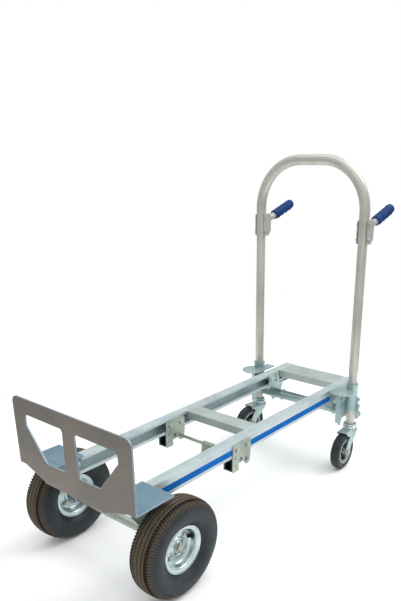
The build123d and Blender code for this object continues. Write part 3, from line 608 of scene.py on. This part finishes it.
def split_pin(radius, reach):
    """Split pin along Z: an eye above the shaft and two legs bent apart below it. Sizes in mm."""
    turns = [i * math.pi / 8 for i in range(1, 16)]
    eye = [(2.6 * math.sin(t), 0, reach + 2.4 - 2.6 * math.cos(t)) for t in turns]
    right = [(0.7, 0, reach), (0.7, 0, -reach * 0.85), (1.6, 0, -reach - 1.4), (4.2, 0, -reach - 3.4)]
    left = [(-x, y, z) for x, y, z in right]
    return sweep([*reversed(right), *eye, *left], radius, 10)


def sweep(points, radius, steps=16, ripple=0.0):
    """Round rod through points in mm, with flat ends. Ripple makes rings of weld metal."""
    path = [Vector(p) for p in points]
    verts, faces = [], []
    side = None
    for i, point in enumerate(path):
        ahead = (path[min(i + 1, len(path) - 1)] - path[max(i - 1, 0)]).normalized()
        if side is None:
            side = ahead.orthogonal()
        side = (side - ahead * side.dot(ahead)).normalized()
        other = ahead.cross(side)
        r = radius * (1 + ripple * (i % 2))
        for k in range(steps):
            turn = 2 * math.pi * k / steps
            verts.append(tuple((point + (side * math.cos(turn) + other * math.sin(turn)) * r) * MM))
    for i in range(len(path) - 1):
        for k in range(steps):
            m = (k + 1) % steps
            faces.append((i * steps + k, i * steps + m, (i + 1) * steps + m, (i + 1) * steps + k))
    faces.append(list(range(steps)))
    faces.append(list(range((len(path) - 1) * steps, len(path) * steps)))
    return verts, faces


def ring_section(start, end, radius, lead):
    """Section of a ring on the axle between two places along it. Lead is the length of its chamfers."""
    bore, face = AXLE_R + 0.05, radius - 0.4
    return [
        (bore, start), (face, start), (radius, start + lead),
        (radius, end - lead), (face, end), (bore, end),
    ]


def make_axle():
    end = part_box("axle")[1].y / MM
    centre = middle("axle")
    middle_r, middle_end = AXLE_MIDDLE
    half = [
        (0, end - 1.6), (1.6, end - 1.4), (2.6, end), (AXLE_R - 1.5, end), (AXLE_R, end - 1.5),
        (AXLE_R, middle_end + 0.1), (middle_r - 0.8, middle_end), (middle_r, middle_end - 0.8),
    ]
    shaft = moved(lathe(mirrored(half), 64), along((centre.x, 0, centre.z), (0, 1, 0)))
    make_piece("axle_shaft", shaft, "frame", "zinc_steel", ["axle"])
    hub_low, hub_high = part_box("hub_left")
    outside, inside = hub_high.y / MM + HUB_GAP, hub_low.y / MM - HUB_GAP
    washer = ring_section(outside, outside + AXLE_WASHER_T, AXLE_WASHER_R, 0.4)
    spacer = ring_section(BRACKET_FACE, inside, AXLE_SPACER_R, 0.5)
    shapes = []
    for sign in SIDES.values():
        seat = along((centre.x, 0, centre.z), (0, sign, 0))
        shapes += [moved(lathe(washer, 56), seat), moved(lathe(spacer, 48), seat)]
        pin_seat = along((centre.x, sign * PIN_PLACE * MM, centre.z), (0.15, 0, 1), (0, 1, 0))
        shapes.append(moved(split_pin(SPLIT_PIN_R, AXLE_R), pin_seat))
    make_piece("axle_washers_and_pins", joined(shapes), "frame", "zinc_steel", ["axle_washers"])


# ---------------------------------------------------------------- grips
def grip_radius(s, turn):
    """Radius in mm at s along the grip; turn 0 points down."""
    under = max(0.0, math.cos(turn)) ** 1.2
    wave = (0.5 + 0.5 * math.cos(2 * math.pi * (s - FINGER_FIRST) / FINGER_PITCH)) ** 0.8
    inside = min(1.0, max(0.0, (s - 4) / 5), max(0.0, (GRIP_LENGTH - 9 - s) / 5))
    r = GRIP_R + FINGER_DEPTH * wave * under * inside
    top = max(0.0, -math.cos(turn)) ** 0.5
    r += 0.3 * top * inside * math.copysign(1, math.sin(FLUTES * turn))
    r -= max(0.0, 1.0 - s) ** 2
    tail = s - (GRIP_LENGTH - GRIP_END)
    if tail > 0:
        r = (GRIP_R - GRIP_END) + math.sqrt(max(0.0, GRIP_END ** 2 - tail * tail))
    return r


def grip_shape():
    stations = [0, 0.5, 1, 2] + [3 + 1.0 * i for i in range(int(GRIP_LENGTH - GRIP_END - 3))]
    stations += [GRIP_LENGTH - GRIP_END + GRIP_END * math.sin(math.radians(a)) for a in range(0, 91, 9)]
    steps = 4 * FLUTES
    verts, faces = [(0, 0, 0)], []
    for s in stations:
        for k in range(steps):
            turn = 2 * math.pi * (k + 0.5) / steps
            r = grip_radius(s, turn)
            verts.append((r * math.cos(turn) * MM, r * math.sin(turn) * MM, s * MM))
    last = len(verts)
    verts.append((0, 0, GRIP_LENGTH * MM))
    for k in range(steps):
        m = (k + 1) % steps
        faces.append((0, 1 + m, 1 + k))
        faces.append((last, last - steps + k, last - steps + m))
        for i in range(len(stations) - 1):
            a, b = 1 + i * steps, 1 + (i + 1) * steps
            faces.append((a + k, a + m, b + m, b + k))
    return verts, faces


def make_grips():
    tilt = math.radians(GRIP_TILT)
    axis = Vector((math.cos(tilt), 0, math.sin(tilt)))
    down = (math.sin(tilt), 0, -math.cos(tilt))
    for side in SIDES:
        leg = middle("leg_" + side)
        root = Vector((leg.x + GRIP_SETBACK * MM, leg.y, GRIP_HEIGHT * MM)) + axis * GRIP_FROM * MM
        grip = moved(grip_shape(), along(root, axis, down))
        make_piece("finger_grip_" + side, grip, "handle", "blue_rubber", ["grip_" + side], sharp=40)


# ---------------------------------------------------------------- casters
def between(table, value):
    """Straight-line reading of a table of (place, value) pairs."""
    for (a, x), (b, y) in zip(table, table[1:]):
        if value <= b:
            return x + (y - x) * max(0.0, value - a) / (b - a)
    return table[-1][1]


def fork_shape():
    """Pressed fork as one bent strip in mm: X forwards from the leg's axis, Y across, Z up from the floor."""
    axle = FORK_FRONT[0][0]
    rows = []
    for i in range(9):
        drop = FORK_EYE * math.cos(math.radians(i * 90 / 8))
        half = math.sqrt(max(0.0, FORK_EYE ** 2 - drop ** 2))
        rows.append((FORK_HALF, axle - drop, -CASTER_TRAIL - half, -CASTER_TRAIL + half))
    height = axle
    while height < FORK_TOP - FORK_BEND - 1:
        height += 2.0
        rows.append((FORK_HALF, height, between(FORK_BACK, height), between(FORK_FRONT, height)))
    back, front = rows[-1][2], rows[-1][3]
    for i in range(1, 9):
        turn = math.radians(i * 90 / 8)
        y = FORK_HALF - FORK_BEND + FORK_BEND * math.cos(turn)
        rows.append((y, FORK_TOP - FORK_BEND + FORK_BEND * math.sin(turn), back, front))
    for share in (0.66, 0.33, 0.0):
        rows.append(((FORK_HALF - FORK_BEND) * share, FORK_TOP, back, front))
    rows += [(-y, z, b, f) for y, z, b, f in reversed(rows[:-1])]
    columns = 12
    verts, faces = [], []
    for y, z, b, f in rows:
        for k in range(columns + 1):
            verts.append(((b + (f - b) * k / columns) * MM, y * MM, z * MM))
    for i in range(len(rows) - 1):
        for k in range(columns):
            a = i * (columns + 1) + k
            faces.append((a, a + 1, a + columns + 2, a + columns + 1))
    return verts, faces


def thicken(piece, thickness, edge):
    """Real thickness and rounded edges, applied to the mesh."""
    solid = piece.modifiers.new("thickness", "SOLIDIFY")
    solid.thickness = thickness
    solid.offset = 0
    rounding = piece.modifiers.new("rounding", "BEVEL")
    rounding.width = edge
    rounding.segments = 2
    rounding.limit_method = "ANGLE"
    rounding.angle_limit = math.radians(50)


def spoke_shape():
    """Web of spokes between the hub and the ring."""
    shapes = [lathe([(12.6, -3.0), (12.6, 3.0), (16.0, 2.2), (16.0, -2.2)], 64)]
    for i in range(CASTER_SPOKES):
        turn = 2 * math.pi * i / CASTER_SPOKES
        for width, thick in ((4.2, 9.0), (9.0, 2.6)):
            outline = [(12, -width * 1.25), (37.4, -width * 0.8), (37.4, width * 0.8), (12, width * 1.25)]
            low = [(x * MM, y * MM, -thick * MM) for x, y in outline]
            high = [(x * MM, y * MM, thick * MM) for x, y in outline]
            faces = [(0, 1, 2, 3), (7, 6, 5, 4)]
            faces += [(k, (k + 1) % 4, 4 + (k + 1) % 4, 4 + k) for k in range(4)]
            shapes.append(moved((low + high, faces), Matrix.Rotation(turn, 4, "Z")))
    return joined(shapes)


def make_casters():
    joints = {joint["name"]: joint for joint in frame["joints"]}
    for side in SIDES:
        roll = joints[f"caster_{side}_roll"]
        centre, lateral = Vector(roll["pos_m"]), Vector(roll["axis"])
        leg = Vector(joints[f"caster_{side}_swivel"]["pos_m"])
        forward = Vector((leg.x - centre.x, leg.y - centre.y, 0)).normalized()
        upright = Matrix((forward, Vector((0, 0, 1)).cross(forward), (0, 0, 1))).transposed().to_4x4()
        upright.translation = (leg.x, leg.y, 0)
        fork, wheel = "caster_" + side, "caster_wheel_" + side
        strip = moved(fork_shape(), upright)
        cad_fork = [f"caster_fork_{side}"]
        pressing = make_piece("caster_pressing_" + side, strip, fork, "blue_zinc_steel", cad_fork, sharp=45)
        thicken(pressing, FORK_THICKNESS * MM, FORK_EDGE * MM)
        race = moved(lathe(RACE_SECTION, 80), upright)
        make_piece("caster_race_" + side, race, fork, "polished_steel")
        stem = moved(lathe(STEM_SECTION, 64), upright)
        make_piece("caster_swivel_head_" + side, stem, "handle", "polished_steel", ["caster_stem_" + side])
        spin = along(centre, lateral, forward)
        half, radius = CASTER_BOLT_HALF, CASTER_BOLT_R
        bolt = [lathe([(0, -half), (radius, -half), (radius, half), (0, half)], 32)]
        seat = Matrix.Translation((0, 0, half * MM))
        bolt.append(moved(hex_head(*CASTER_BOLT_HEAD), seat))
        bolt.append(moved(hex_head(*CASTER_BOLT_HEAD), Matrix.Rotation(math.pi, 4, "X") @ seat))
        bolt = moved(joined(bolt), spin)
        make_piece("caster_axle_bolt_" + side, bolt, fork, "zinc_steel", [f"caster_axle_{side}"])
        tread = moved(lathe(mirrored(CASTER_TYRE), 112), spin)
        make_piece("caster_tread_" + side, tread, wheel, "caster_rubber", [f"caster_tyre_{side}"])
        core = moved(joined([lathe(mirrored(CASTER_RING), 96), lathe(mirrored(CASTER_HUB), 64)]), spin)
        make_piece("caster_ring_" + side, core, wheel, "caster_core_grey", [f"caster_core_{side}"])
        make_piece("caster_web_" + side, moved(spoke_shape(), spin), wheel, "black_plastic")


# ---------------------------------------------------------------- welds and rivets
def weld_bead(start, end, radius):
    """Row of overlapping weld ripples between two points in mm."""
    start, end = Vector(start), Vector(end)
    count = max(4, int((end - start).length / 0.9))
    return sweep([start + (end - start) * i / count for i in range(count + 1)], radius, 10, 0.16)


def make_welds():
    low, high = (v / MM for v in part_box("toe_plate"))
    x = low.x + WELD_INSET
    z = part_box("rail_left")[1].z / MM + WELD_ABOVE_RAIL
    shapes = []
    for sign in SIDES.values():
        shapes.append(weld_bead((x, sign * WELD_START, z), (x, sign * (high.y - WELD_SHORT), z), WELD_R))
    make_piece("toe_plate_welds", joined(shapes), "frame", "toe_plate_alloy")


# ---------------------------------------------------------------- CAD nodes that stay
def soften(node, width):
    """Small rounded edges on a CAD node, so that its corners catch the light."""
    weld = node.modifiers.new("weld", "WELD")
    weld.merge_threshold = 0.01 * MM
    rounding = node.modifiers.new("rounding", "BEVEL")
    rounding.width = width
    rounding.segments = 2
    rounding.limit_method = "ANGLE"
    rounding.angle_limit = math.radians(35)


def finish_nodes():
    """Each CAD node gets the material of its slot in the record, except the crossbars, which get the crossbar
    finish.
    """
    for part in frame["record"]["subparts"]:
        node = frame["nodes"][part["node"]]
        node.data.materials.clear()
        finish = CROSSBAR_FINISH if "crossbar" in part["node"] else FINISHES[part["material_slot"]]
        node.data.materials.append(finish)
        if not node.hide_render:
            soften(node, NODE_EDGE * MM)


# ---------------------------------------------------------------- stage
def make_stage():
    """Round pale floor, with the white surround beyond it."""
    steps = 128
    turns = [2 * math.pi * i / steps for i in range(steps)]
    ring = [(FLOOR_R * math.cos(turn), FLOOR_R * math.sin(turn), 0) for turn in turns]
    mesh = bpy.data.meshes.new("floor")
    mesh.from_pydata(ring, [], [tuple(range(steps))])
    floor = bpy.data.objects.new("floor", mesh)
    floor.data.materials.append(floor_finish())
    bpy.context.scene.collection.objects.link(floor)


def make_sun(name, strength, azimuth, elevation, width):
    """Soft light from a wide patch of the sky."""
    sun = bpy.data.lights.new(name, "SUN")
    sun.energy = strength
    sun.angle = math.radians(width)
    lamp = bpy.data.objects.new(name, sun)
    turn, rise = math.radians(azimuth), math.radians(elevation)
    source = Vector((math.cos(turn) * math.cos(rise), math.sin(turn) * math.cos(rise), math.sin(rise)))
    lamp.rotation_mode = "QUATERNION"
    lamp.rotation_quaternion = source.to_track_quat("Z", "Y")
    bpy.context.scene.collection.objects.link(lamp)


def make_lights():
    """White surround for the camera; metal sees a sky that is darker near the horizon."""
    world = bpy.data.worlds.new("studio")
    bpy.context.scene.world = world
    world.use_nodes = True
    tree = world.node_tree
    background = tree.nodes["Background"]
    place = put(tree, "ShaderNodeTexCoord", {}).outputs["Generated"]
    axes = put(tree, "ShaderNodeSeparateXYZ", {0: place}).outputs
    height = spread(tree, axes[2], -0.1, 0.6)
    sky = mix(tree, height, SKY_LOW, SKY_HIGH)
    seen = put(tree, "ShaderNodeLightPath", {}).outputs["Is Camera Ray"]
    tree.links.new(mix(tree, seen, sky, (1.0, 1.0, 1.0, 1)), background.inputs["Color"])
    for light in SUNS:
        make_sun(*light)


def make_camera():
    data = bpy.data.cameras.new("camera")
    data.sensor_fit = "AUTO"
    data.sensor_width = 36.0
    data.lens = CAMERA_LENS
    data.shift_x, data.shift_y = CAMERA_SHIFT
    data.clip_start, data.clip_end = 0.05, 300.0
    camera = bpy.data.objects.new("camera", data)
    camera.rotation_mode = "QUATERNION"
    yaw, pitch = math.radians(CAMERA_YAW), math.radians(CAMERA_PITCH)
    look = Vector((math.cos(yaw) * math.cos(pitch), math.sin(yaw) * math.cos(pitch), math.sin(pitch)))
    level = look.to_track_quat("-Z", "Y")
    camera.rotation_quaternion = Matrix.Rotation(math.radians(CAMERA_ROLL), 3, look).to_quaternion() @ level
    camera.location = Vector(CAMERA_PLACE) + Vector((cad_low[0], 0, 0))
    bpy.context.scene.collection.objects.link(camera)
    bpy.context.scene.camera = camera


make_camera()
make_stage()
make_lights()
for wheel_side, wheel_sign in SIDES.items():
    make_wheel(wheel_side, wheel_sign)
make_axle()
make_grips()
make_casters()
rail_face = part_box("rail_left")[1].y
make_cross_bolts("frame_bolts", "frame", FRAME_HEAD_R, lambda low, high: max(-low.y, high.y) > rail_face)
make_cross_bolts("handle_bolts", "handle", HANDLE_HEAD_R, lambda low, high: True)
make_welds()
finish_nodes()

bpy.context.scene.view_settings.view_transform = "Standard"
